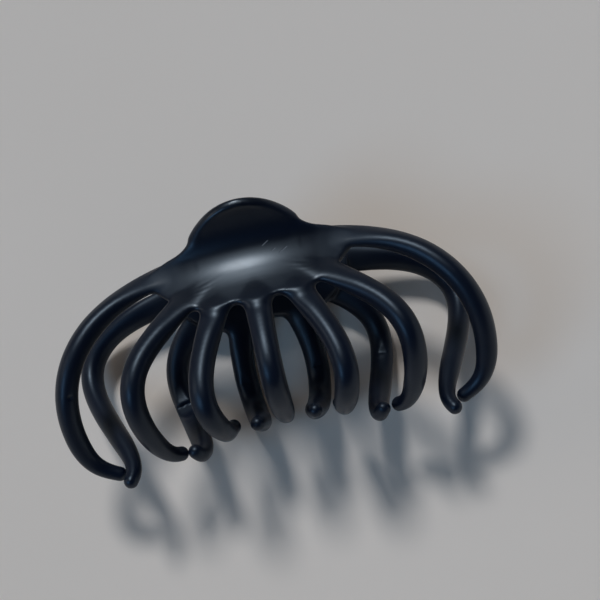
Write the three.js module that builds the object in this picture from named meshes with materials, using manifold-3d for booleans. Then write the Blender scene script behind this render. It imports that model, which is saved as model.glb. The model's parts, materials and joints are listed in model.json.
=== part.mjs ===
// Large claw hair clip: two moulded jaws with interleaved curved prongs, a steel pin and a torsion
// spring. Millimetres. While it is built, X runs along the hinge pin, +Y from the pin to the thumb
// tabs and +Z from the pin to the front jaw, with the pin's axis as the X axis. At the end everything
// is moved so that the origin is under the middle of the clip, which rests on its back jaw.
import * as THREE from 'three';
import { mergeVertices } from 'three/addons/utils/BufferGeometryUtils.js';
import Module from 'manifold-3d';

// ---- driving dimensions ----
const SPAN = 104.3;            // overall width, outer prong to outer prong
const REACH = 47.2;            // pin axis to the lowest prong
const HUB_RISE = 12;           // pin axis to the middle of each jaw's hub
const PRONG_W = 5.8;           // width of a prong at its belly
const PRONG_T = 5.3;           // thickness of a prong at its belly
const TIP_D = 3.4;             // diameter of the rounded prong tips
const TIP_GAP = 0.8;           // a front prong's tip to the back prong that it closes beside
const SHELL_T = 3.2;           // wall thickness of hub and tab
const TAB_W = 28.4;            // width of a thumb tab
const TAB_H = 10.8;            // height of a thumb tab above the pin axis
const SPRING_BAY = 13.8;       // clear width between the back jaw's lugs
const PIN_D = 2.0;             // steel hinge pin
const PIN_CLEARANCE = 0.08;    // radial, pin to bore
const LUG_T = 2.4;             // thickness of a hinge lug
const LUG_D = 6.4;             // outer diameter of a hinge lug
const LUG_GAP = 0.6;           // side gap between neighbouring lugs, and between spring and lug
const WIRE_D = 1.1;            // spring wire
const COIL_D = 4.7;            // mean diameter of the coil
const COIL_TURNS = 7;
const SPRING_GAP = 0.15;       // spring leg to the tab it presses on

// The tables below are written for prongs that span 104.3 and reach 47.2 below the pin, 12 from it.
const KX = SPAN / 104.3;
const KY = REACH / 47.2;
const KZ = HUB_RISE / 12;
const below = (y) => (y < 0 ? y * KY : y);

// Centre lines of the prongs: control points [x, y, z] of uniform cubic B-splines, z away from the
// middle plane towards the prong's own jaw. Only the prongs at x >= 0 are listed. beside is the x at
// which the next back prong inwards passes the front prong's tip.
const FRONT_PRONGS = [
  { points: [[0, 0, 12], [0, -14.2, 15], [0, -24.8, 19], [0, -32, 19.7], [0, -36.3, 14.5],
    [0, -38.3, 6], [0, -38.5, -1], [0, -37.1, -3]] },
  { beside: 6.6,
    points: [[4.5, -1.3, 12], [11.7, -16.5, 15], [16.2, -27.6, 19], [16.6, -35.4, 19.7],
      [15, -39.6, 14.5], [14, -40, 6], [13.6, -38.5, -1], [12.3, -36.9, -3]] },
  { beside: 21.4,
    points: [[7.7, -1.5, 12], [21.3, -12.7, 13.8], [29.7, -20.8, 17.5], [32.6, -28.3, 18.1],
      [32.4, -34.9, 13.3], [30.7, -39.5, 5.5], [28.2, -41.7, -0.9], [25.1, -41, -2.8]] },
  { beside: 38.2,
    points: [[10, 0, 12], [24.6, -1.1, 10.8], [36.3, -6.5, 13.7], [44.8, -14.7, 14.2],
      [49.3, -24, 10.4], [50, -33, 4.2], [47.6, -40.4, -0.9], [40.4, -43.3, -2.4]] },
];
const BACK_PRONGS = [
  { points: [[3.1, 0, 12], [8.1, -11.9, 15], [9.5, -22.3, 19], [8.7, -30.4, 19.7],
    [7.6, -35.4, 14.5], [6.6, -37.6, 6], [6.5, -38.5, -1], [7.7, -39.3, -3]] },
  { points: [[7, -1.1, 12], [20.8, -9.3, 14.4], [26.7, -17.3, 18.2], [25.9, -26, 18.9],
    [23.2, -34.6, 13.9], [21.4, -41.1, 5.8], [21.5, -43.4, -1], [23.6, -41, -2.9]] },
  { points: [[9, 0.1, 12], [30.6, -1.7, 12], [43.5, -6.9, 15.2], [48.1, -15.1, 15.8],
    [45.6, -25, 11.6], [40.4, -35.1, 4.8], [37, -43, -0.8], [39.9, -46.8, -2.6]] },
];

// Hub outlines below a tab 28.4 wide, from the tab's corner round to the crotch on the centre line:
// [x, y].
const FRONT_HUB = [[16.2, 2.3], [19.4, 1.2], [22.4, -1.2], [22.3, -4.6], [20.5, -7.5], [17.6, -10],
  [14.2, -12], [10, -13.2], [5, -13]];
const FRONT_CROTCH = -13.8;
const BACK_HUB = [[16.2, 2.3], [19.6, 1.3], [22.4, -0.8], [22.2, -3.8], [20.2, -6.6], [17.4, -9.2],
  [13.5, -11.2], [9, -12.4], [4.6, -11.4]];
const BACK_CROTCH = -10.8;

const PLASTIC = new THREE.MeshStandardMaterial({ color: 0x1b1d22, roughness: 0.45, metalness: 0 });
const STEEL = new THREE.MeshStandardMaterial({ color: 0xb4b7bb, roughness: 0.3, metalness: 1 });

const wasm = await Module();
wasm.setup();

const smooth = (a, b, t) => {
  const u = Math.min(1, Math.max(0, (t - a) / (b - a)));
  return u * u * (3 - 2 * u);
};

// Value at t from a list of [t, value] rows, joined by straight lines.
function lookup(rows, t) {
  let k = 0;
  while (k < rows.length - 2 && rows[k + 1][0] < t) k += 1;
  const [[t0, v0], [t1, v1]] = [rows[k], rows[k + 1]];
  return v0 + (v1 - v0) * Math.min(1, Math.max(0, (t - t0) / (t1 - t0)));
}

// Uniform cubic B-spline that starts and ends on its first and last control points.
class Spline extends THREE.Curve {
  constructor(points) {
    super();
    const n = points.length;
    const beyond = (a, b) => a.clone().multiplyScalar(2).sub(b);
    this.points = [beyond(points[0], points[1]), ...points, beyond(points[n - 1], points[n - 2])];
  }

  getPoint(t, target = new THREE.Vector3()) {
    const spans = this.points.length - 3;
    const k = Math.min(spans - 1, Math.floor(t * spans));
    const u = t * spans - k;
    const w = [(1 - u) ** 3, 3 * u ** 3 - 6 * u * u + 4, -3 * u ** 3 + 3 * u * u + 3 * u + 1, u ** 3];
    target.set(0, 0, 0);
    w.forEach((weight, i) => target.addScaledVector(this.points[k + i], weight / 6));
    return target;
  }
}

// Closed surface through rings of points, with a fan at each end.
function skin(rings) {
  const n = rings[0].length;
  const xyz = rings.flat().flatMap((p) => [p.x, p.y, p.z]);
  const index = [];
  for (let i = 0; i < rings.length - 1; i += 1) {
    for (let j = 0; j < n; j += 1) {
      const [a, b] = [i * n + j, i * n + ((j + 1) % n)];
      index.push(a, b, b + n, a, b + n, a + n);
    }
  }
  for (const [ring, turn] of [[0, 1], [rings.length - 1, 0]]) {
    const middle = rings[ring].reduce((s, p) => s.add(p), new THREE.Vector3()).divideScalar(n);
    const tip = xyz.push(middle.x, middle.y, middle.z) / 3 - 1;
    for (let j = 0; j < n; j += 1) {
      const [a, b] = [ring * n + j, ring * n + ((j + 1) % n)];
      index.push(tip, turn ? b : a, turn ? a : b);
    }
  }
  const geometry = new THREE.BufferGeometry();
  geometry.setAttribute('position', new THREE.Float32BufferAttribute(xyz, 3));
  geometry.setIndex(index);
  return geometry;
}

// Elliptic section carried along a curve. size(s) gives [half width, half thickness, end scale].
function sweep(curve, stations, sides, size, outward) {
  const rings = stations.map((s) => {
    const p = curve.getPointAt(s);
    const along = curve.getTangentAt(s);
    const side = new THREE.Vector3().crossVectors(outward(p), along).normalize();
    const up = new THREE.Vector3().crossVectors(along, side);
    const [w, t] = size(s);
    return Array.from({ length: sides }, (_, j) => {
      const a = (2 * Math.PI * j) / sides;
      return p.clone().addScaledVector(side, w * Math.cos(a)).addScaledVector(up, t * Math.sin(a));
    });
  });
  return skin(rings);
}

// Control points of a prong at the driving sizes. The last two points of a front prong keep their
// distance from the back prong beside them, whatever the span and the prongs' own sizes.
function layOut({ points, beside }, sign, mirror) {
  const room = 0.43 * PRONG_W + TIP_D / 2 + TIP_GAP - 4.994;
  return points.map(([x, y, z], i) => {
    const away = beside !== undefined && i > 5 ? beside * KX + (x - beside) + room : x * KX;
    return new THREE.Vector3(mirror * away, below(y), sign * z * KZ);
  });
}

// One prong: flat where it leaves the hub, round at the belly, tapering to a ball-ended tip.
function prong(plan, sign, mirror) {
  const curve = new Spline(layOut(plan, sign, mirror));
  curve.arcLengthDivisions = 400;
  const length = curve.getLength();
  const width = [[0, 3.4 / 2.7], [0.2, 3.15 / 2.7], [0.38, 1], [0.7, 0.97], [0.86, 0.86]];
  const thick = [[0, 0.62], [0.1, 0.66], [0.28, 0.94], [0.45, 1], [0.7, 1], [0.86, 0.9]];
  const size = (s) => {
    const taper = smooth(0.8, 1, s);
    const left = Math.max(0, (1 - s) * length);
    const round = left < TIP_D / 2 ? Math.sqrt(Math.max(0.02, 1 - (1 - left / (TIP_D / 2)) ** 2)) : 1;
    const w = (PRONG_W / 2) * lookup(width, s) * (1 - taper) + (TIP_D / 2) * taper;
    const t = (PRONG_T / 2) * lookup(thick, s) * (1 - taper) + (TIP_D / 2) * taper;
    return [w * round, t * round];
  };
  const end = TIP_D / 2 / length;
  const stations = Array.from({ length: 19 }, (_, i) => ((1 - end) * i) / 18);
  stations.push(1 - 0.62 * end, 1 - 0.28 * end, 1 - 0.06 * end);
  const outward = (p) => new THREE.Vector3(0.5 * p.x, 0.3 * (p.y + 18 * KY), p.z + sign * 2);
  return sweep(curve, stations, 10, size, outward);
}

// Height of a jaw's middle surface above the hinge plane: flared tab, valley over the pin, then a
// slow rise into the prongs, falling away a little at the sides.
function hubHeight(x, y) {
  const h = y > 0 ? y : y / KY;
  const lift = h > 0 ? 0.07 * h * h : h > -4 ? 0.03 * h * h : 0.48 + 0.24 * (-h - 4);
  return KZ * (12 + lift) * (1 - 0.07 * (x / 23) ** 2);
}

// Tab and hub in one shell with a rounded rim, built in rings from its middle to its outline.
function hub(outline, crotch, sign) {
  const half = [];
  for (let a = 15; a <= 80; a += 13) {
    const t = (a * Math.PI) / 180;
    half.push([(TAB_W / 2) * Math.sin(t), 2.6 + (TAB_H - 2.6) * Math.cos(t)]);
  }
  half.push(...outline.map(([x, y]) => [(x * TAB_W) / 28.4, below(y)]));
  const loop = [[0, TAB_H], ...half, [0, below(crotch)], ...half.map(([x, y]) => [-x, y]).reverse()];
  const edge = new THREE.CatmullRomCurve3(loop.map(([x, y]) => new THREE.Vector3(x, y, 0)), true);
  const rim = edge.getPoints(56).slice(0, -1);
  const ring = (scale, face) => rim.map((p) => {
    const x = p.x * scale;
    const y = (p.y + 2) * scale - 2;
    const lift = (SHELL_T / 2) * face * Math.sqrt(Math.max(0, 1 - scale ** 9));
    return new THREE.Vector3(x, y, sign * (hubHeight(x, y) + lift));
  });
  const steps = [0.16, 0.4, 0.64, 0.84, 0.95, 0.99];
  const rings = [...steps.map((s) => ring(s, -1)), ring(1, 0), ...steps.reverse().map((s) => ring(s, 1))];
  return skin(sign > 0 ? rings.reverse() : rings);
}

// Plate from the hub's inner face to the pin, with the pin's bore; x is its inner side.
function lug(x, sign) {
  const plate = new THREE.Shape();
  const [root, top] = [LUG_D * 0.7, hubHeight(x, 0)];
  plate.moveTo(root, top);
  plate.lineTo(LUG_D / 2, 0);
  plate.absarc(0, 0, LUG_D / 2, 0, -Math.PI, true);
  plate.lineTo(-root, top);
  plate.closePath();
  const bore = new THREE.Path();
  bore.absarc(0, 0, PIN_D / 2 + PIN_CLEARANCE, 0, 2 * Math.PI, false);
  plate.holes.push(bore);
  const geometry = new THREE.ExtrudeGeometry(plate, { depth: LUG_T, bevelEnabled: false, curveSegments: 12 });
  geometry.applyMatrix4(new THREE.Matrix4().set(0, 0, 1, x, 1, 0, 0, 0, 0, 1, 0, 0, 0, 0, 0, 1));
  if (sign < 0) geometry.applyMatrix4(new THREE.Matrix4().makeRotationX(Math.PI));
  return geometry;
}

function toManifold(geometry) {
  const clean = geometry.clone();
  clean.deleteAttribute('normal');
  clean.deleteAttribute('uv');
  const merged = mergeVertices(clean, 1e-4);
  return new wasm.Manifold(new wasm.Mesh({
    numProp: 3,
    vertProperties: new Float32Array(merged.attributes.position.array),
    triVerts: new Uint32Array(merged.index.array),
  }));
}

function join(geometries) {
  const solid = geometries.map(toManifold).reduce((a, b) => a.add(b));
  const mesh = solid.getMesh();
  const geometry = new THREE.BufferGeometry();
  geometry.setAttribute('position', new THREE.Float32BufferAttribute(mesh.vertProperties, 3));
  geometry.setIndex(Array.from(mesh.triVerts));
  return geometry;
}

function jaw(prongs, outline, crotch, sign, lugX) {
  const arms = prongs.flatMap((plan) => {
    const sides = plan.points[0][0] === 0 ? [1] : [1, -1];
    return sides.map((mirror) => prong(plan, sign, mirror));
  });
  return join([hub(outline, crotch, sign), ...arms, lug(lugX, sign), lug(-lugX - LUG_T, sign)]);
}

function pin(length) {
  const [r, l, c] = [PIN_D / 2, length / 2, 0.25];
  const side = [[0, -l], [r - c, -l], [r, -l + c], [r, l - c], [r - c, l], [0, l]];
  const geometry = new THREE.LatheGeometry(side.map(([x, y]) => new THREE.Vector2(x, y)), 32);
  return geometry.rotateZ(-Math.PI / 2);
}

// Coil round the pin with one straight leg to each tab.
function spring(coilLength) {
  const [r, h] = [COIL_D / 2, coilLength / 2];
  const reachY = 0.74 * TAB_H;
  const slope = Math.hypot(1, (hubHeight(0, reachY + 0.1) - hubHeight(0, reachY)) / 0.1);
  const reachZ = hubHeight(h, reachY) - (SHELL_T / 2 + WIRE_D / 2 + SPRING_GAP) * slope;
  const start = Math.acos(r / Math.hypot(reachY, reachZ)) - Math.atan2(reachZ, reachY);
  const points = [new THREE.Vector3(-h, reachY, -reachZ)];
  const steps = COIL_TURNS * 14;
  for (let i = 0; i <= steps; i += 1) {
    const a = start + (i / steps) * (2 * Math.PI * COIL_TURNS - 2 * start);
    points.push(new THREE.Vector3(-h + (2 * h * i) / steps, r * Math.cos(a), r * Math.sin(a)));
  }
  points.push(new THREE.Vector3(h, reachY, reachZ));
  const rings = points.map((p, i) => {
    const before = points[Math.max(0, i - 1)];
    const after = points[Math.min(points.length - 1, i + 1)];
    const along = after.clone().sub(before).normalize();
    const side = new THREE.Vector3(1, 0, 0).addScaledVector(along, -along.x).normalize();
    const up = new THREE.Vector3().crossVectors(along, side);
    return Array.from({ length: 6 }, (_, j) => {
      const a = (Math.PI * j) / 3;
      return p.clone().addScaledVector(side, (WIRE_D / 2) * Math.cos(a))
        .addScaledVector(up, (WIRE_D / 2) * Math.sin(a));
    });
  });
  return skin(rings);
}

const backLugX = SPRING_BAY / 2;
const frontLugX = backLugX + LUG_T + LUG_GAP;
const pieces = [
  ['front_jaw', jaw(FRONT_PRONGS, FRONT_HUB, FRONT_CROTCH, 1, frontLugX), PLASTIC],
  ['back_jaw', jaw(BACK_PRONGS, BACK_HUB, BACK_CROTCH, -1, backLugX), PLASTIC],
  ['hinge_pin', pin(2 * (frontLugX + LUG_T + 0.3)), STEEL],
  ['torsion_spring', spring(2 * (backLugX - LUG_GAP) - WIRE_D), STEEL],
];

const group = new THREE.Group();
for (const [name, geometry, material] of pieces) {
  const mesh = new THREE.Mesh(geometry, material.clone());
  mesh.name = name;
  group.add(mesh);
}

// Origin under the middle of the clip.
const box = new THREE.Box3().setFromObject(group);
const middle = box.getCenter(new THREE.Vector3());
for (const mesh of group.children) mesh.geometry.translate(-middle.x, -middle.y, -box.min.z);

export default group;
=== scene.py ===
import json
import math

import bpy
import numpy as np
from mathutils import Matrix


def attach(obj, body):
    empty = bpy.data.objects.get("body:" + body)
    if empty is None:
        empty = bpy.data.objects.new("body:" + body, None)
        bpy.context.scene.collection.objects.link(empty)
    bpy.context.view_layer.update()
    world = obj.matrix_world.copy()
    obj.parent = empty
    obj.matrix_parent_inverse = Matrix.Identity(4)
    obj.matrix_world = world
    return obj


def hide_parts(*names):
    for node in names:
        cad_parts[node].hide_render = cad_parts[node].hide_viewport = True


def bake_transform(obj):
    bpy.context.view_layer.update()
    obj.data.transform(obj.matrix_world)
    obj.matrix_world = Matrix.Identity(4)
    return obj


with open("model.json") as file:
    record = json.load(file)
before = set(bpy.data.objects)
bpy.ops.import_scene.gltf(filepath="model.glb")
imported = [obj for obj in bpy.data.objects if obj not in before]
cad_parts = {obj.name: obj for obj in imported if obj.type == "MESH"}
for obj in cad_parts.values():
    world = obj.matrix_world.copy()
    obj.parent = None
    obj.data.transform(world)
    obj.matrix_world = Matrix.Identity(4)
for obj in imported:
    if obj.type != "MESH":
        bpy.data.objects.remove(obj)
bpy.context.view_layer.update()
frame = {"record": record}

MM = 0.001
JOINT = frame["record"]["behaviour"]["joints"][0]
HINGE = np.array(JOINT["pos_m"]) / MM

# ---- sizes shared with the solid model, mm ----
PRONG_W, PRONG_T, TIP_D = 5.8, 5.3, 3.4
SHELL_T, TAB_W, TAB_H = 3.2, 28.4, 10.8
PIN_D, PIN_CLEARANCE = 2.0, 0.08
LUG_T, LUG_D, LUG_GAP, SPRING_BAY = 2.4, 6.4, 0.6, 13.8
WIRE_D, COIL_D, COIL_TURNS, SPRING_GAP = 1.1, 4.7, 7, 0.15

# Control points of the prongs' centre lines, uniform cubic B-splines, for x >= 0.
FRONT_PRONGS = [
    [(0, 0, 12), (0, -14.2, 15.8), (0, -24.8, 19.2), (0, -32, 19.7), (0, -36.3, 14.5),
     (0, -38.3, 6), (0, -38.5, -1), (0, -37.1, -3)],
    [(4.5, -1.3, 12), (11.7, -16.5, 15.8), (16.2, -27.6, 19.2), (16.6, -35.4, 19.7),
     (15, -39.6, 14.5), (14, -40, 6), (13.6, -38.5, -1), (12.3, -36.9, -3)],
    [(7.7, -1.5, 12), (21.3, -12.7, 14.4), (29.7, -20.8, 17.5), (32.6, -28.3, 18.1),
     (32.4, -34.9, 13.3), (30.7, -39.5, 5.5), (28.2, -41.7, -0.9), (25.1, -41, -2.8)],
    [(10, 0, 11.4), (24.6, -0.8, 8.9), (36.3, -6.0, 10.9), (44.8, -14.5, 12.9),
     (49.3, -24, 10.4), (50, -33, 4.2), (47.6, -40.4, -0.9), (40.4, -43.3, -2.4)],
]
BACK_PRONGS = [
    [(3.1, 0, 12), (8.1, -11.9, 15.6), (9.5, -22.3, 19), (8.7, -30.4, 19.7),
     (7.6, -35.4, 14.5), (6.6, -37.6, 6), (6.5, -38.5, -1), (7.7, -39.3, -3)],
    [(7, -1.1, 12), (20.8, -9.3, 14.4), (26.7, -17.3, 18.2), (25.9, -26, 18.9),
     (23.2, -34.6, 13.9), (21.4, -41.1, 5.8), (21.5, -43.4, -1), (23.6, -41, -2.9)],
    [(9, 0.1, 12), (30.6, -1.7, 12), (43.5, -6.9, 15.2), (48.1, -15.1, 15.8),
     (45.6, -25, 11.6), (40.4, -35.1, 4.8), (37, -43, -0.8), (39.9, -46.8, -2.6)],
]
# Hub outlines from the tab's corner down to the crotch on the centre line.
FRONT_HUB = [(16.3, 2.8), (20.2, 1.7), (24.2, 0.1), (26.2, -1.9), (23.6, -4.4), (20.7, -7.4),
             (17.6, -10), (14.2, -12), (10, -13.2), (5, -13), (0, -13.8)]
BACK_HUB = [(16.2, 2.3), (19.6, 1.3), (22.4, -0.8), (22.2, -3.8), (20.2, -6.6), (17.4, -9.2),
            (13.5, -11.2), (9, -12.4), (4.6, -11.4), (0, -10.8)]

# Where the mould's core left a flat on a back prong's inner side, by prong and side of the
# clip: start, step and end along the prong (0 to 1), half width at the step and after it in mm.
CORE_FLATS = {
    (1, -1): (0.470, 0.567, 0.70, 1.15, 2.3),
    (1, 1): (0.520, 0.552, 0.60, 0.55, 0.0),
    (0, 1): (0.440, 0.474, 0.52, 0.50, 0.0),
    (0, -1): (0.425, 0.480, 0.55, 0.80, 0.0),
}
# Small remains of gates and vents on the front prongs: prong, side, place along it, direction
# round the section in degrees from the outer edge, radius, and + for a nub or - for a nick.
MOULD_MARKS = [(3, 1, 0.655, 0, 0.42, 1), (3, -1, 0.640, 0, 0.45, -1),
               (2, -1, 0.585, 180, 0.45, -1)]

HUB_HEIGHT = 12.2              # middle of the shell above the pin's axis, mm
HUB_VALLEY = 9                 # how far below the pin the rise to the prongs turns straight, mm
OUTER_ARM = 22                 # a prong whose second point lies further out is an arm, mm
SECTION_POWER = 2.15           # 2 would make a prong's section a true ellipse
ARM_FILLET, LUG_FILLET = 1.8, 1.0      # between prongs, and between a lug and the shell, mm
LUG_TOP, LUG_EDGE = 12.4, 0.35         # where a lug ends in the shell, and its rounding, mm
PIN_DOME, WIRE_DOME = 0.3, 0.2         # length of the domed ends, mm
END_SCALE = 1e-4               # the last ring of pin and wire, as a share of the radius
FLOOR_FLAT, FLOOR_SIDES = 2.4, 96      # where the floor starts to sweep up, m, and its sides
CELL = 0.37                    # grid step of the moulded jaws, mm


# ------------------------------------------------------------------ camera, floor and light
def place_camera():
    """A long lens above the prong tips, looking down on the front jaw."""
    azimuth, elevation, roll = (math.radians(a) for a in (8.05, 76.5, 20.97))
    back = np.array([math.sin(azimuth) * math.cos(elevation),
                     -math.cos(azimuth) * math.cos(elevation), math.sin(elevation)])
    level = np.array([math.cos(azimuth), math.sin(azimuth), 0.0])
    above = np.cross(back, level)
    right = level * math.cos(roll) - above * math.sin(roll)
    up = level * math.sin(roll) + above * math.cos(roll)
    target, distance = (np.array([9.09, -11.65, 0.0]) + HINGE) * MM, 0.320
    place = np.eye(4)
    place[:3, 0], place[:3, 1], place[:3, 2] = right, up, back
    place[:3, 3] = target + distance * back
    data = bpy.data.cameras.new("camera")
    data.sensor_width, data.lens = 36.0, 79.6
    data.clip_start, data.clip_end = 0.01, 20.0
    camera = bpy.data.objects.new("camera", data)
    camera.matrix_world = Matrix(place.tolist())
    bpy.context.scene.collection.objects.link(camera)
    bpy.context.scene.camera = camera


def soft_lamp(name, towards, spread, strength, tint):
    """An even lamp far away in one direction; spread is how wide it looks, in degrees."""
    data = bpy.data.lights.new(name, "SUN")
    data.angle, data.energy, data.color = math.radians(spread), strength, tint
    lamp = bpy.data.objects.new(name, data)
    back = unit(np.array(towards, float))
    side = unit(np.cross([0.0, 0.0, 1.0], back))
    place = np.eye(4)
    place[:3, 0], place[:3, 1], place[:3, 2] = side, np.cross(back, side), back
    place[:3, 3] = back
    lamp.matrix_world = Matrix(place.tolist())
    bpy.context.scene.collection.objects.link(lamp)


# ------------------------------------------------------------------ centre lines and sections
class CentreLine:
    """Uniform cubic B-spline that starts and ends on its first and last points."""

    def __init__(self, points):
        p = np.asarray(points, float)
        self.points = np.vstack([2 * p[0] - p[1], p, 2 * p[-1] - p[-2]])
        self.spans = len(self.points) - 3
        self.knots = np.linspace(0, self.spans, 801)
        steps = np.linalg.norm(np.diff(self.at(self.knots)[0], axis=0), axis=1)
        self.arc = np.concatenate([[0], np.cumsum(steps)])
        self.length = self.arc[-1]

    def at(self, t):
        """Place and first derivative: the four nearby points weighted by the cubic basis."""
        k = np.clip(t.astype(int), 0, self.spans - 1)
        u = (t - k)[:, None]
        a, b, c, d = (self.points[k + i] for i in range(4))
        place = ((1 - u) ** 3 * a + (3 * u ** 3 - 6 * u ** 2 + 4) * b
                 + (-3 * u ** 3 + 3 * u ** 2 + 3 * u + 1) * c + u ** 3 * d) / 6
        slope = (-(1 - u) ** 2 * a + (3 * u ** 2 - 4 * u) * b
                 + (-3 * u ** 2 + 2 * u + 1) * c + u ** 2 * d) / 2
        return place, slope

    def knot_at(self, arc):
        """The parameter at a length along the line, read off the summed chords."""
        return np.interp(arc, self.arc, self.knots)


def unit(v):
    """A vector divided by its length."""
    return v / np.linalg.norm(v, axis=-1, keepdims=True)


def smoothstep(a, b, x):
    """0 up to a and 1 from b, and between them 3 u^2 - 2 u^3 of the share u covered."""
    u = np.clip((x - a) / (b - a), 0, 1)
    return u * u * (3 - 2 * u)


def soft_min(a, b, k):
    """The smaller of two distances, with a fillet of width k where they are close."""
    h = np.maximum(k - np.abs(a - b), 0) / k
    return np.minimum(a, b) - h * h * k / 4


def soft_max(a, b, k):
    """The larger of two distances, with the same fillet."""
    return -soft_min(-a, -b, k)


def eased(rows, s):
    """Value along a prong from (s, value) rows: straight lines blurred by a short cosine window."""
    reach = 22
    grid = np.linspace(-0.1, 1.1, 601)
    line = np.interp(grid, *np.array(rows, float).T)
    window = np.hanning(2 * reach + 1)
    line = np.convolve(np.pad(line, reach, mode="edge"), window / window.sum(), mode="valid")
    return np.interp(s, grid, line)


WIDTH = [(0, 1.26), (0.2, 1.16), (0.38, 1.0), (0.7, 0.97), (0.86, 0.86), (1, 0.8)]
THICK = [(0, 0.10), (0.08, 0.18), (0.15, 0.29), (0.22, 0.61), (0.32, 0.92), (0.42, 1.0),
         (0.7, 1.0), (0.86, 0.9), (1, 0.85)]
ARM_THICK = [(0, 0.10), (0.07, 0.20), (0.14, 0.40), (0.22, 0.68), (0.31, 0.88), (0.42, 1.0),
             (0.7, 1.0), (0.86, 0.94), (1, 0.85)]


def prong_section(s, table):
    """Half width and half thickness at s, 0 to 1 along a prong: table values that close smoothly
    on the tip's radius over the last fifth."""
    taper = smoothstep(0.80, 1.0, s)
    width = PRONG_W / 2 * eased(WIDTH, s) * (1 - taper) + TIP_D / 2 * taper
    thick = PRONG_T / 2 * eased(table, s) * (1 - taper) + TIP_D / 2 * taper
    return width, thick


# ------------------------------------------------------------------ distance fields
class Grid:
    """A box of cells over a jaw, with one value per corner. Its corners lie symmetrically about
    x = 0."""

    def __init__(self, low, high):
        self.axes = [np.arange(round(a / CELL), round(b / CELL) + 1) * CELL
                     for a, b in zip(low, high)]
        self.shape = tuple(len(a) for a in self.axes)

    def window(self, low, high):
        """Index ranges that cover a box, and its broadcastable coordinates."""
        cut = tuple(slice(int(np.searchsorted(a, lo)), int(np.searchsorted(a, hi)))
                    for a, lo, hi in zip(self.axes, low, high))
        x, y, z = (a[c] for a, c in zip(self.axes, cut))
        return cut, x[:, None, None], y[None, :, None], z[None, None, :]


def prong_distance(grid, points, flat=None, mark=None, reach=3.0):
    """Distance to one prong. Each corner's nearest place on the centre line is found among samples
    and sharpened with three Newton steps; across the line the section is a slightly
    squared ellipse, and past the end it closes as a ball."""
    line = CentreLine(points)
    last = line.knot_at(np.array([line.length - TIP_D / 2]))[0]
    knots = line.knot_at(np.arange(0, line.length - TIP_D / 2, 0.7))
    samples = line.at(knots)[0]
    nearest = np.full(grid.shape, 1e9, np.float32)
    where = np.zeros(grid.shape, np.float32)
    pad = PRONG_W / 2 + 1.2 + reach
    for i in range(0, len(samples), 6):
        group = samples[i:i + 6]
        cut, x, y, z = grid.window(group.min(0) - pad, group.max(0) + pad)
        if min(x.size, y.size, z.size) == 0:
            continue
        best, place = nearest[cut], where[cut]
        for knot, (px, py, pz) in zip(knots[i:i + 6], group):
            d = (x - px) ** 2 + (y - py) ** 2 + (z - pz) ** 2
            closer = d < best
            best[closer] = d[closer]
            place[closer] = knot
    close = np.nonzero(nearest < pad ** 2)
    q = np.stack([axis[i] for axis, i in zip(grid.axes, close)], 1)
    t = where[close].astype(float)
    for _ in range(3):
        place, slope = line.at(t)
        t = np.clip(t + ((q - place) * slope).sum(1) / (slope ** 2).sum(1), 0, last)
    place, slope = line.at(t)
    s = np.interp(t, line.knots, line.arc) / line.length
    along = unit(slope)
    outward = np.stack([0.5 * place[:, 0], 0.3 * (place[:, 1] + 18), place[:, 2] + 2], 1)
    side = unit(np.cross(outward, along))
    up = np.cross(along, side)
    q = q - place
    u, v, w = (q * side).sum(1), (q * up).sum(1), (q * along).sum(1)
    width, thick = prong_section(s, ARM_THICK if abs(points[1][0]) > OUTER_ARM else THICK)
    power = SECTION_POWER
    r = ((np.abs(u) / width) ** power + (np.abs(v) / thick) ** power) ** (1 / power)
    r = np.sqrt(r ** 2 + (w / (TIP_D / 2)) ** 2) + 1e-6
    d = np.sqrt((q ** 2).sum(1)) * (1 - 1 / r)
    if flat:
        # The core's flat: its half width grows from nothing to the step, where it rises a
        # little and widens, and fades out at the end. A plane at that half width cuts the ellipse.
        begin, step, end, narrow, wide = flat
        half = np.where(s < step, narrow * np.clip((s - begin) / (step - begin), 0, 1),
                        max(wide, narrow) * (1 - smoothstep(step + 0.3 * (end - step), end, s)))
        drop = 0.24 * (s < step) * np.clip((s - begin) / (step - begin), 0, 1)
        pull = unit(along * along[:, 2:] - [0, 0, 1])
        size = np.sqrt((width * (pull * side).sum(1)) ** 2 + (thick * (pull * up).sum(1)) ** 2)
        depth = size * np.sqrt(1 - np.minimum(half / size, 0.95) ** 2) - drop
        d = np.where(half > 0.02, soft_max(d, (q * pull).sum(1) - depth, 0.06), d)
    if mark:
        at, turn, radius, sign = mark
        k = np.abs(s - at).argmin()
        c, t = math.cos(math.radians(turn)), math.sin(math.radians(turn))
        edge = place[k] + side[k] * c * width[k] + up[k] * t * thick[k]
        ball = np.sqrt(((q + place - edge) ** 2).sum(1)) - radius
        d = soft_min(d, ball, 0.15) if sign > 0 else soft_max(d, -ball, 0.25)
    field = np.full(grid.shape, reach, np.float32)
    field[close] = np.minimum(d, reach)
    return field


def closed_outline(half):
    """Closed Catmull-Rom curve through points on the right side and their mirror images."""
    half = np.array(half, float)
    left = half[1:-1][::-1] * [-1, 1]
    p = np.vstack([half, left])
    u = np.linspace(0, 1, 8, endpoint=False)[None, :, None]
    a, b, c, d = (np.roll(p, k, 0)[:, None] for k in (1, 0, -1, -2))
    curve = 0.5 * (2 * b + (c - a) * u + (2 * a - 5 * b + 4 * c - d) * u ** 2
                   + (3 * b - a - 3 * c + d) * u ** 3)
    return curve.reshape(-1, 2)


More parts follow.
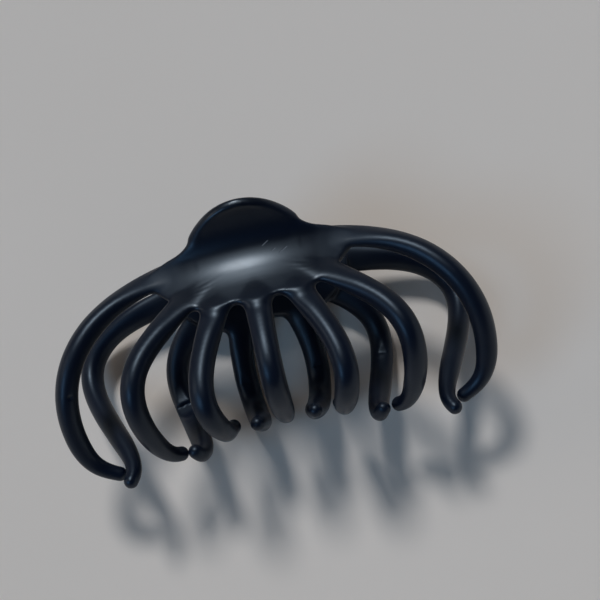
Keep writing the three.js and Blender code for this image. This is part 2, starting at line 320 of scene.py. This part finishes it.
def outline_distance(x, y, outline):
    """Signed distance in the plane to a closed outline, negative inside: the least distance to
    its sides, with the sign from how many sides a ray crosses."""
    a, b = outline, np.roll(outline, -1, 0)
    best = np.full(np.broadcast(x, y).shape, 1e9)
    inside = np.zeros(best.shape, bool)
    for (ax, ay), (bx, by) in zip(a, b):
        ex, ey = bx - ax, by - ay
        t = np.clip(((x - ax) * ex + (y - ay) * ey) / (ex * ex + ey * ey + 1e-12), 0, 1)
        best = np.minimum(best, (ax + t * ex - x) ** 2 + (ay + t * ey - y) ** 2)
        crosses = (ay > y) != (by > y)
        inside ^= crosses & (x < ex * (y - ay) / (ey + 1e-12) + ax)
    return np.where(inside, -1, 1) * np.sqrt(best)


def hub_height(x, y):
    """Middle surface of tab and hub: a quadratic flare above the pin, a valley over it and a
    rounded rise into the prongs that goes straight on from 9 mm below it, at the height and slope
    reached there, all crowned with the square of x."""
    up = np.maximum(y, 0)
    down = np.maximum(-y, 0)
    lift = 0.078 * up ** 2 + np.where(down < HUB_VALLEY, 0.026 * down ** 2,
                                      2.106 + 0.468 * (down - HUB_VALLEY))
    return HUB_HEIGHT + lift - 0.0052 * x ** 2


def hub_distance(grid, lower):
    """Distance to tab and hub: a curved plate with a round rim. Round the tab it rolls back with
    the square of the distance from 2.6 to 1.4 mm inside its edge, and from there it goes on at
    the slope reached, curling a little more."""
    angle = np.radians(np.arange(0, 81, 13))
    tab = np.stack([TAB_W / 2 * np.sin(angle), 2.6 + (TAB_H - 2.6) * np.cos(angle)], 1)
    outline = closed_outline(np.vstack([tab, lower]))
    x, y, z = (a.reshape([-1 if i == k else 1 for i in range(3)])
               for k, a in enumerate(grid.axes))
    edge = outline_distance(x[:, :, 0], y[:, :, 0], outline)[:, :, None]
    e = 0.05
    sx = (hub_height(x + e, y) - hub_height(x - e, y)) / (2 * e)
    sy = (hub_height(x, y + e) - hub_height(x, y - e)) / (2 * e)
    tilt = np.sqrt(1 + sx ** 2 + sy ** 2)
    land = np.maximum(edge + 1.4, 0)
    lip = 0.70 * np.clip(edge + 2.6, 0, 1.2) ** 2 + 1.68 * land + 0.078 * land ** 2
    lip = smoothstep(2, 9, y) * lip
    rise = (z - hub_height(x, y) + lip) / tilt
    rim = 0.9 - 0.3 * smoothstep(3.0, 7.0, y)
    half = (SHELL_T / 2 - 0.35 * smoothstep(5, 12, -y)) / tilt ** 0.6
    over, out = np.abs(rise) - (half - rim), edge + rim
    return (np.sqrt(np.maximum(over, 0) ** 2 + np.maximum(out, 0) ** 2) - rim
            + np.minimum(np.maximum(over, out), 0))


def lug_distance(grid, x0):
    """Distance to one hinge lug: an outline extruded along x, with slightly rounded edges."""
    turn = np.radians(np.linspace(0, -180, 25))
    root, top, r = LUG_D * 0.7, LUG_TOP, LUG_D / 2
    outline = np.vstack([[(root, top)], np.stack([r * np.cos(turn), r * np.sin(turn)], 1),
                         [(-root, top)]])
    y, z = grid.axes[1][:, None], grid.axes[2][None, :]
    flat = outline_distance(y, z, outline)[None] + LUG_EDGE
    across = np.abs(grid.axes[0] - (x0 + LUG_T / 2))[:, None, None]
    across = across - LUG_T / 2 + LUG_EDGE
    return (np.sqrt(np.maximum(flat, 0) ** 2 + np.maximum(across, 0) ** 2) - LUG_EDGE
            + np.minimum(np.maximum(flat, across), 0))


def moulded_jaw(prongs, lower, lug_x, flats, marks):
    """One jaw's distance field: hub, prongs and lugs joined with fillets, less the pin's bore.
    Prongs are listed for x >= 0; their mirror images are added."""
    grid = Grid((-54, -50, -6), (54, 14.5, 24))
    # The hub's fillet widens from 0.5 mm towards the crotches, and again under the outer arms.
    fillet = (0.5 + 1.8 * smoothstep(8, 15, -grid.axes[1])[None, :, None]
              + 0.8 * smoothstep(15, 22, np.abs(grid.axes[0]))[:, None, None])
    arms = None
    for i, points in enumerate(prongs):
        for side in (1, -1) if points[0][0] else (1,):
            path = [(side * x, y, z) for x, y, z in points]
            mark = [m[2:] for m in marks if m[:2] == (i, side)]
            arm = prong_distance(grid, path, flats.get((i, side)), mark[0] if mark else None)
            arms = arm if arms is None else soft_min(arms, arm, ARM_FILLET)
    field = soft_min(hub_distance(grid, lower), arms, fillet)
    for x0 in (lug_x, -lug_x - LUG_T):
        field = soft_min(field, lug_distance(grid, x0), LUG_FILLET)
    y, z = grid.axes[1][None, :, None], grid.axes[2][None, None, :]
    bore = np.sqrt(y ** 2 + z ** 2) - (PIN_D / 2 + PIN_CLEARANCE)
    return np.maximum(field, -bore), grid.axes


# ------------------------------------------------------------------ surface of a distance field
def sample(field, axes, p):
    """Value and gradient of a field at points, by trilinear interpolation."""
    low = np.array([a[0] for a in axes])
    g = (p - low) / CELL
    k = np.clip(g.astype(int), 0, np.array(field.shape) - 2)
    f = g - k
    i, j, l = k.T
    c = field[i[:, None] + [0, 0, 0, 0, 1, 1, 1, 1], j[:, None] + [0, 0, 1, 1, 0, 0, 1, 1],
              l[:, None] + [0, 1, 0, 1, 0, 1, 0, 1]].astype(float)
    fx, fy, fz = f.T
    wx, wy, wz = (np.stack([1 - a, a]) for a in (fx, fy, fz))
    w = np.stack([wx[a] * wy[b] * wz[e] for a in (0, 1) for b in (0, 1) for e in (0, 1)], 1)
    dx = sum((2 * a - 1) * wy[b] * wz[e] * c[:, 4 * a + 2 * b + e]
             for a in (0, 1) for b in (0, 1) for e in (0, 1))
    dy = sum(wx[a] * (2 * b - 1) * wz[e] * c[:, 4 * a + 2 * b + e]
             for a in (0, 1) for b in (0, 1) for e in (0, 1))
    dz = sum(wx[a] * wy[b] * (2 * e - 1) * c[:, 4 * a + 2 * b + e]
             for a in (0, 1) for b in (0, 1) for e in (0, 1))
    return (w * c).sum(1), np.stack([dx, dy, dz], 1) / CELL


def relax(p, faces, rounds):
    """Evens out a mesh: each vertex moves towards the mean of its neighbours and then a little
    further back, so that the shape doesn't shrink."""
    edges = np.vstack([faces[:, [0, 1]], faces[:, [1, 2]], faces[:, [2, 3]], faces[:, [3, 0]]])
    count = np.bincount(edges[:, 0], minlength=len(p))[:, None]
    for factor in (0.5, -0.52) * rounds:
        total = np.stack([np.bincount(edges[:, 0], p[edges[:, 1], i], len(p)) for i in range(3)], 1)
        p = p + factor * (total / count - p)
    return p


def surface(field, axes):
    """Surface where the field is zero, as quads: one vertex in each cell that it crosses, at the
    mean of its edge crossings, then moved on to the zero level, and evened out before and
    after."""
    inside = field < 0
    corners = [(i, j, k) for i in (0, 1) for j in (0, 1) for k in (0, 1)]
    nx, ny, nz = (n - 1 for n in field.shape)
    count = sum(inside[i:i + nx, j:j + ny, k:k + nz].astype(np.int8) for i, j, k in corners)
    cells = np.nonzero((count > 0) & (count < 8))
    index = np.full((nx, ny, nz), -1, np.int64)
    index[cells] = np.arange(len(cells[0]))
    total = np.zeros((len(cells[0]), 3))
    crossings = np.zeros(len(cells[0]))
    for axis in range(3):
        for offset in corners:
            if offset[axis]:
                continue
            end = list(offset)
            end[axis] = 1
            a = field[tuple(c + o for c, o in zip(cells, offset))]
            b = field[tuple(c + o for c, o in zip(cells, end))]
            cross = (a < 0) != (b < 0)
            t = np.where(cross, a / np.where(cross, a - b, 1), 0)
            step = np.array(offset, float)[None] + np.eye(3)[axis][None] * t[:, None]
            total += step * cross[:, None]
            crossings += cross
    p = np.stack(cells, 1) + total / crossings[:, None]
    p = p * CELL + np.array([a[0] for a in axes])
    quads = []
    for axis in range(3):
        o = [np.roll((1, 0, 0), axis + k) for k in range(3)]
        here = [slice(1, n) for n in (nx, ny, nz)]
        here[axis] = slice(0, (nx, ny, nz)[axis])
        low = inside[tuple(here)]
        there = list(here)
        there[axis] = slice(1, field.shape[axis])
        high = inside[tuple(there)]
        at = np.stack(np.nonzero(low != high), 1) + np.array([h.start for h in here])
        outward = low[low != high]
        ring = [index[tuple((at - a * o[1] - b * o[2]).T)]
                for a, b in ((0, 0), (1, 0), (1, 1), (0, 1))]
        quad = np.stack(ring, 1)
        quads.append(np.where(outward[:, None], quad, quad[:, ::-1]))
    faces = np.vstack(quads)
    p = relax(p, faces, 2)
    for _ in range(3):
        value, slope = sample(field, axes, p)
        p = p - np.clip(value, -CELL, CELL)[:, None] * slope / ((slope ** 2).sum(1)[:, None] + 1e-9)
    return relax(p, faces, 6), faces


# ------------------------------------------------------------------ meshes
def piece(name, vertices, faces, body, material, replaces):
    """A smooth-shaded object from vertices in mm round the pin and faces of equal size."""
    mesh = bpy.data.meshes.new(name)
    faces = np.asarray(faces)
    n = faces.shape[1]
    mesh.vertices.add(len(vertices))
    mesh.vertices.foreach_set("co", ((vertices + HINGE) * MM).astype(np.float32).ravel())
    mesh.loops.add(faces.size)
    mesh.loops.foreach_set("vertex_index", faces.ravel().astype(np.int32))
    mesh.polygons.add(len(faces))
    mesh.polygons.foreach_set("loop_start", np.arange(0, faces.size, n, dtype=np.int32))
    mesh.update(calc_edges=True)
    mesh.validate()
    mesh.shade_smooth()
    mesh.materials.append(material)
    ob = bpy.data.objects.new(name, mesh)
    bpy.context.scene.collection.objects.link(ob)
    if body:
        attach(ob, body)
    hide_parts(replaces)
    return ob


def tube(rings):
    """Quads between equal closed rings of points; the first and the last ring stay open."""
    count, sides = rings.shape[:2]
    i = np.arange(count - 1)[:, None] * sides
    j = np.arange(sides)[None, :]
    k = (j + 1) % sides
    quads = np.stack([i + j, i + k, i + sides + k, i + sides + j], -1).reshape(-1, 4)
    return rings.reshape(-1, 3), quads


def build_jaw(name, prongs, lower, lug_x, flats, marks, sign, body, material):
    """One jaw: the surface of its distance field, turned over in z where sign is negative."""
    field, axes = moulded_jaw(prongs, lower, lug_x, flats, marks)
    p, faces = surface(field, axes)
    if sign < 0:
        p, faces = p * [1, 1, -1], faces[:, ::-1]
    return piece(name, p, faces, body, material, name)


# ------------------------------------------------------------------ pin and spring
def round_section(path, radius, sides, scale):
    """Rings of a circle carried along a path without twist about x; scale shrinks each ring."""
    along = unit(np.gradient(path, axis=0))
    side = unit(np.array([1.0, 0, 0]) - along * along[:, :1])
    up = np.cross(along, side)
    a = np.linspace(0, 2 * np.pi, sides, endpoint=False)
    return (path[:, None] + radius * scale[:, None, None]
            * (side[:, None] * np.cos(a)[None, :, None] + up[:, None] * np.sin(a)[None, :, None]))


def domed(left, dome, face):
    """Share of the radius at a distance from the nearer end: a quarter ellipse that rises from
    the end face's share to 1 over the dome, with the end rings themselves almost closed."""
    scale = np.where(left < dome, face + (1 - face)
                     * np.sqrt(1 - (1 - np.minimum(left, dome) / dome) ** 2), 1)
    scale[[0, -1]] = END_SCALE
    return scale


def build_pin(material):
    """A straight wire along x: circles whose radius shrinks over the domed ends."""
    half = SPRING_BAY / 2 + 2 * LUG_T + LUG_GAP + PIN_DOME
    near = np.array([0, 0.02, 0.08, 0.18, PIN_DOME])
    x = np.concatenate([-half + near, np.linspace(-half + 2 * PIN_DOME, half - 2 * PIN_DOME, 12),
                        half - near[::-1]])
    radius = PIN_D / 2 * domed(np.minimum(x + half, half - x), PIN_DOME, 0.62)[:, None]
    a = np.linspace(0, 2 * np.pi, 40, endpoint=False)
    rings = np.stack([np.broadcast_to(x[:, None], (len(x), len(a))),
                      radius * np.cos(a), radius * np.sin(a)], -1)
    v, f = tube(rings)
    return piece("hinge_pin", v, f, "back", material, "hinge_pin")


def build_spring(material):
    """Torsion spring: a leg from the back tab, a coil round the pin and a leg to the front tab.
    The corners between leg and coil are part of the coil's own curve, which the legs leave along
    its tangent."""
    r = COIL_D / 2
    h = (SPRING_BAY / 2 - LUG_GAP) - WIRE_D / 2
    reach_y = 0.74 * TAB_H
    slope = math.hypot(1, float(hub_height(0.0, reach_y + 0.1) - hub_height(0.0, reach_y)) / 0.1)
    wall = SHELL_T / 2 / slope ** 0.6
    reach_z = float(hub_height(h, np.array(reach_y))) - (wall + WIRE_D / 2 + SPRING_GAP) * slope
    start = math.acos(r / math.hypot(reach_y, reach_z)) - math.atan2(reach_z, reach_y)
    t = np.linspace(0, 1, COIL_TURNS * 36 + 1)
    a = start + t * (2 * math.pi * COIL_TURNS - 2 * start)
    coil = np.stack([-h + 2 * h * t, r * np.cos(a), r * np.sin(a)], 1)
    leg = np.linspace(0, 1, 24, endpoint=False)[:, None]
    back_end, front_end = np.array([-h, reach_y, -reach_z]), np.array([h, reach_y, reach_z])
    path = np.vstack([back_end + (coil[0] - back_end) * leg, coil,
                      (front_end + (coil[-1] - front_end) * leg)[::-1]])
    steps = np.concatenate([[0], np.cumsum(np.linalg.norm(np.diff(path, axis=0), axis=1))])
    near, length = np.array([0, 0.03, 0.1, WIRE_DOME]), steps[-1]
    even = np.linspace(0, length, int(length / 0.3))
    even = np.concatenate([near, even[1:-1], length - near])
    even.sort()
    path = np.stack([np.interp(even, steps, path[:, i]) for i in range(3)], 1)
    scale = domed(np.minimum(even, length - even), WIRE_DOME, 0.75)
    v, f = tube(round_section(path, WIRE_D / 2, 14, scale))
    ob = piece("torsion_spring", v, f, None, material, "torsion_spring")
    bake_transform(ob)
    return ob


# ------------------------------------------------------------------ materials
class Shade:
    """One output of a material's nodes; arithmetic on it adds Math nodes."""

    def __init__(self, finish, socket):
        self.finish, self.socket = finish, socket

    def math(self, operation, *others):
        return self.finish.node("ShaderNodeMath", {"operation": operation}, [self, *others])

    def __add__(self, other):
        return self.math("ADD", other)

    __radd__ = __add__

    def __sub__(self, other):
        return self.math("SUBTRACT", other)

    def __rsub__(self, other):
        return self.finish.node("ShaderNodeMath", {"operation": "SUBTRACT"}, [other, self])

    def __mul__(self, other):
        return self.math("MULTIPLY", other)

    __rmul__ = __mul__


class Finish:
    """A material being built round one Principled shader."""

    def __init__(self, name, colour, **settings):
        self.material = bpy.data.materials.new(name)
        self.material.use_nodes = True
        self.tree = self.material.node_tree
        self.shader = self.tree.nodes["Principled BSDF"]
        self.shader.inputs["Base Color"].default_value = (*colour, 1)
        self.material.diffuse_color = (*colour, 1)
        for key, value in settings.items():
            self.shader.inputs[key.replace("_", " ")].default_value = value
        coords = self.node("ShaderNodeTexCoord", {}, [], "Object")
        self.place = self.node("ShaderNodeVectorMath", {"operation": "SCALE"},
                               {"Vector": coords, "Scale": 1000.0})

    def node(self, kind, settings, inputs, output=0):
        """Adds a node: its settings first, then values or links for its sockets."""
        made = self.tree.nodes.new(kind)
        for key, value in settings.items():
            if key == "stops":
                ramp = made.color_ramp
                for i, (at, level) in enumerate(value):
                    stop = ramp.elements[i] if i < 2 else ramp.elements.new(at)
                    stop.position, stop.color = at, (level, level, level, 1)
            else:
                setattr(made, key, value)
        pairs = inputs.items() if isinstance(inputs, dict) else enumerate(inputs)
        for key, value in pairs:
            if isinstance(value, Shade):
                self.tree.links.new(value.socket, made.inputs[key])
            else:
                made.inputs[key].default_value = value
        return Shade(self, made.outputs[output])

    def noise(self, scale, detail=2.0, rough=0.5, stretch=None):
        """Noise in the piece's own millimetres, about 0.5 on average."""
        place = self.place
        if stretch:
            place = self.node("ShaderNodeVectorMath", {"operation": "MULTIPLY"},
                              [place, stretch])
        return self.node("ShaderNodeTexNoise", {},
                         {"Vector": place, "Scale": scale, "Detail": detail, "Roughness": rough})

    def ramp(self, value, low, high):
        """0 at low and 1 at high, smooth between; low may be the larger."""
        return self.node("ShaderNodeMapRange", {"interpolation_type": "SMOOTHSTEP"},
                         [value, float(low), float(high), 0.0, 1.0])

    def feed(self, socket, value):
        self.tree.links.new(value.socket, self.shader.inputs[socket])

    def bump(self, height, strength, depth_mm):
        normal = self.node("ShaderNodeBump", {}, {"Strength": strength, "Distance": depth_mm * MM,
                                                   "Height": height})
        self.feed("Normal", normal)

    def mix(self, mask, low, high):
        """Colour low where the mask is 0 and high where it is 1."""
        ends = [c if isinstance(c, Shade) else (*c, 1) for c in (low, high)]
        return self.node("ShaderNodeMix", {"data_type": "RGBA"},
                         {0: mask, 6: ends[0], 7: ends[1]}, 2)


def jaw_plastic():
    """Satin black moulding: fine grain and slightly uneven gloss. Handling has polished the hub
    and the tab's rim; the tab's flank, the shoulders of the arms and the prongs are duller. Outside
    the polished hub and rim the black is painted lighter and bluer, a painted blue sheen."""
    f = Finish("satin_black_plastic", (0.004, 0.005, 0.011), Roughness=0.5, IOR=1.5,
               Specular_IOR_Level=0.44, Coat_Roughness=0.22,
               Specular_Tint=(0.66, 0.83, 1.0, 1.0), Coat_IOR=1.5)
    grain = f.noise(5.5, 3.0, 0.6)
    cloud = f.noise(0.07, 3.0, 0.6)
    haze = f.noise(0.35, 4.0, 0.65)
    x, y, z = (f.node("ShaderNodeSeparateXYZ", {}, [f.place], k) for k in range(3))
    aside = (x - float(HINGE[0])).math("ABSOLUTE")
    flank = f.ramp(y, HINGE[1] + 0.5, HINGE[1] + 3) * f.ramp(y, HINGE[1] + 8.5, HINGE[1] + 7)
    # The mask is 1 on the polished hub and rim, for gloss, and also marks where the painted blue
    # sheen is left off.
    polish_and_sheen_mask = f.ramp(y, HINGE[1] - 16, HINGE[1] - 8) * (1.0 - flank) * f.ramp(aside, 26, 14)
    shoulder = f.ramp(aside, 15, 19) * f.ramp(aside, 34, 24)
    shoulder = shoulder * f.ramp(y, HINGE[1] - 12, HINGE[1] - 6)
    scratches = 0.0
    for cx, cy, length in ((4.5, 0.35, 1.1), (6.15, -1.6, 0.6), (8.4, -2.1, 1.3)):
        dx, dy = x - float(HINGE[0] + cx), y - float(HINGE[1] + cy)
        across = (dx * 0.52 - dy * 0.85).math("ABSOLUTE")
        along = (dx * 0.85 + dy * 0.52).math("ABSOLUTE")
        scratches = scratches + f.ramp(across, 0.16, 0.03) * f.ramp(along, length, 0.6 * length)
    scratches = scratches * f.ramp(z, HINGE[2] + 10, HINGE[2] + 11)
    # Painted sheen: where the mask is 0 (prongs, arms, tab flank) the black is painted lighter and
    # bluer, a painted blue sheen; the polished hub and rim stay darker.
    painted_sheen_black = f.mix(polish_and_sheen_mask, (0.0010, 0.0036, 0.0140), (0.0012, 0.0026, 0.0080))
    black = f.mix(cloud * 0.5 + grain * 0.3, painted_sheen_black, (0.0012, 0.0032, 0.0100))
    f.feed("Base Color", f.mix(scratches, black, (0.10, 0.11, 0.13)))
    f.feed("Roughness", 0.27 - polish_and_sheen_mask * 0.05 + cloud * 0.10 + haze * 0.08 + grain * 0.06
           + shoulder * 0.16 + scratches * 0.3)
    f.feed("Coat Weight", 0.01 + polish_and_sheen_mask * 0.20)
    f.bump(grain * 0.6 + haze * 0.3 - scratches * 3.0, 0.35, 0.02)
    return f.material


def wire(name, colour, roughness):
    """Drawn steel wire with fine lines and a little tarnish."""
    f = Finish(name, colour, Metallic=1.0, Roughness=roughness)
    lines = f.noise(3.0, 3.0, 0.6, stretch=(0.15, 1.0, 1.0))
    tarnish = f.noise(0.4, 4.0, 0.6)
    low = tuple(0.7 * c for c in colour)
    f.feed("Base Color", f.mix(tarnish * 0.7 + lines * 0.3, low, colour))
    f.feed("Roughness", roughness - 0.08 + lines * 0.12 + tarnish * 0.08)
    f.bump(lines, 0.3, 0.01)
    return f.material


def floor_finish():
    """A pale matt floor, very slightly cloudy."""
    f = Finish("pale_floor", (0.82, 0.76, 0.70), Roughness=0.8)
    cloud = f.noise(0.01, 2.0, 0.5)
    f.feed("Base Color", f.mix(cloud, (0.82, 0.745, 0.675), (0.85, 0.775, 0.71)))
    return f.material


# ------------------------------------------------------------------ the clip
place_camera()

# The floor is flat all round and then sweeps up with the power 2.2 of the distance.
r = np.array([FLOOR_FLAT, 2.8, 3.1, 3.3, 3.4])[:, None]
turn = np.linspace(0, 2 * np.pi, FLOOR_SIDES, endpoint=False)[None, :]
rise = 1.4 * (r - FLOOR_FLAT) ** 2.2
rings = np.stack(np.broadcast_arrays(r * np.cos(turn), r * np.sin(turn), rise), -1)
v, f = tube(rings)
mesh = bpy.data.meshes.new("floor")
mesh.from_pydata(v.tolist(), [], f[:, ::-1].tolist() + [list(range(FLOOR_SIDES))])
mesh.shade_smooth()
mesh.materials.append(floor_finish())
floor = bpy.data.objects.new("floor", mesh)
bpy.context.scene.collection.objects.link(floor)

soft_lamp("key", (-0.105, 0.59, 0.80), 13, 1.40, (0.96, 0.98, 1.0))
soft_lamp("top", (-0.63, -0.235, 0.724), 26, 0.55, (0.38, 0.66, 1.0))
soft_lamp("left", (-0.80, 0.30, 0.50), 24, 0.22, (1.0, 0.92, 0.84))
world = bpy.data.worlds.new("studio")
world.use_nodes = True
world.node_tree.nodes["Background"].inputs[0].default_value = (0.80, 0.88, 1.0, 1)
world.node_tree.nodes["Background"].inputs[1].default_value = 0.03
bpy.context.scene.world = world
bpy.context.scene.view_settings.view_transform = "Standard"

black = jaw_plastic()
back_lug = SPRING_BAY / 2
build_jaw("front_jaw", FRONT_PRONGS, FRONT_HUB, back_lug + LUG_T + LUG_GAP, {}, MOULD_MARKS, 1,
          "front", black)
build_jaw("back_jaw", BACK_PRONGS, BACK_HUB, back_lug, CORE_FLATS, [], -1, "back", black)
build_pin(wire("pin_steel", (0.62, 0.63, 0.65), 0.3))
build_spring(wire("spring_steel", (0.5, 0.5, 0.52), 0.36))
